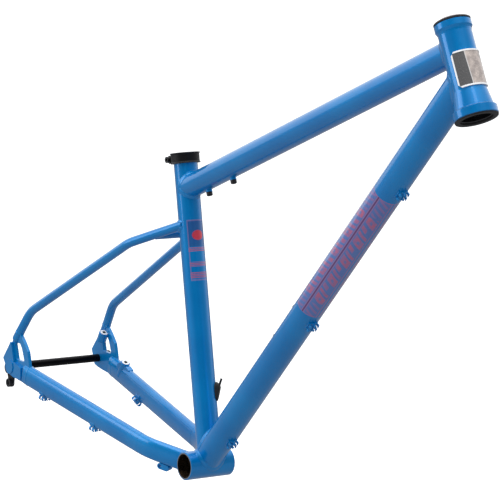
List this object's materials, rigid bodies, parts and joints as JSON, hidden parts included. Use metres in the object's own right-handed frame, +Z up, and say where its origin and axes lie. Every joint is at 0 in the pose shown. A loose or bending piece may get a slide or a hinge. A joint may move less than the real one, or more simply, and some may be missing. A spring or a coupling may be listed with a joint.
{
  "type": "bicycle frame",
  "caption": "Steel hardtail trail bicycle frame with round welded tubes, bent seatstays, oval chainstays, thru-axle dropouts, tapered headset bearings and a clamped seat collar.",
  "frame": {"origin": "centre of the bottom bracket shell, on the crank axis", "axes": "+X forward, +Y to the left (non-drive) side along the crank axis, +Z up"},
  "size_m": [1.0343, 0.1786, 0.6991],
  "materials": {
    "blue_paint": "gloss blue paint over steel",
    "bearing_steel": "ground and polished",
    "machined_steel": "bare, turned face",
    "black_alloy": "black anodised",
    "grey_alloy": "bead blasted",
    "black_steel": "black oxide",
    "black_rubber": "matt",
    "badge_metal": "bright plated rim"
  },
  "bodies": {
    "frame": {"head_tube": "blue_paint", "top_tube": "blue_paint", "down_tube": "blue_paint", "seat_tube": "blue_paint", "bottom_bracket_shell": "blue_paint", "seatstay_right": "blue_paint", "seatstay_left": "blue_paint", "seatstay_bridge": "blue_paint", "chainstay_right": "blue_paint", "chainstay_left": "blue_paint", "dropout_right": "blue_paint", "dropout_left": "blue_paint", "derailleur_hanger": "black_alloy", "hanger_bolt": "black_steel", "brake_post_upper": "machined_steel", "brake_post_lower": "machined_steel", "brake_post_gusset": "blue_paint", "upper_bearing_outer_ring": "bearing_steel", "lower_bearing_outer_ring": "bearing_steel", "head_badge": "badge_metal", "bottle_bosses": "blue_paint", "bottle_boss_bolts": "black_steel", "top_tube_bosses": "blue_paint", "top_tube_boss_bolts": "black_steel", "down_tube_hose_guides": "blue_paint", "chainstay_hose_guides": "blue_paint", "shell_hose_guide": "blue_paint", "cable_port_grommet": "black_rubber", "cable_stub": "black_rubber"},
    "upper_headset_rotor": {"upper_bearing_inner_ring": "bearing_steel", "compression_ring": "grey_alloy", "upper_headset_cover": "black_alloy"},
    "upper_ball_ring": {"upper_bearing_balls": "bearing_steel"},
    "lower_headset_rotor": {"lower_bearing_inner_ring": "bearing_steel", "lower_bearing_seal": "black_rubber"},
    "lower_ball_ring": {"lower_bearing_balls": "bearing_steel"},
    "seat_clamp": {"seat_collar": "black_alloy", "seat_collar_barrel_nut": "black_steel"},
    "seat_clamp_bolt": {"seat_collar_bolt": "black_steel"},
    "axle_washer": {"thru_axle_washer": "black_alloy"},
    "rear_axle": {"thru_axle": "black_alloy"}
  },
  "joints": [
    {"name": "upper_steering_turn", "type": "hinge", "parent": "frame", "child": "upper_headset_rotor", "pos_m": [0.51132, 0, 0.66244], "axis": [-0.454, 0, 0.891], "continuous": true},
    {"name": "upper_ball_orbit", "type": "hinge", "parent": "frame", "child": "upper_ball_ring", "pos_m": [0.51132, 0, 0.66244], "axis": [-0.454, 0, 0.891], "continuous": true},
    {"name": "lower_steering_turn", "type": "hinge", "parent": "frame", "child": "lower_headset_rotor", "pos_m": [0.56353, 0, 0.55997], "axis": [-0.454, 0, 0.891], "continuous": true},
    {"name": "lower_ball_orbit", "type": "hinge", "parent": "frame", "child": "lower_ball_ring", "pos_m": [0.56353, 0, 0.55997], "axis": [-0.454, 0, 0.891], "continuous": true},
    {"name": "seat_collar_turn", "type": "hinge", "parent": "frame", "child": "seat_clamp", "pos_m": [-0.07914, 0, 0.42549], "axis": [-0.2079, 0, 0.9781], "continuous": true},
    {"name": "seat_collar_bolt_turn", "type": "hinge", "parent": "seat_clamp", "child": "seat_clamp_bolt", "pos_m": [-0.10506, 0, 0.41998], "axis": [0, 1, 0], "continuous": true},
    {"name": "thru_axle_slide", "type": "slide", "parent": "frame", "child": "axle_washer", "axis": [0, 1, 0], "range_m": [0, 0.19]},
    {"name": "thru_axle_spin", "type": "hinge", "parent": "axle_washer", "child": "rear_axle", "pos_m": [-0.42381, 0, 0.0652], "axis": [0, 1, 0], "continuous": true}
  ],
  "couplings": [
    {"joint": "upper_ball_orbit", "follows": "upper_steering_turn", "ratio": 0.456},
    {"joint": "lower_ball_orbit", "follows": "lower_steering_turn", "ratio": 0.465}
  ]
}
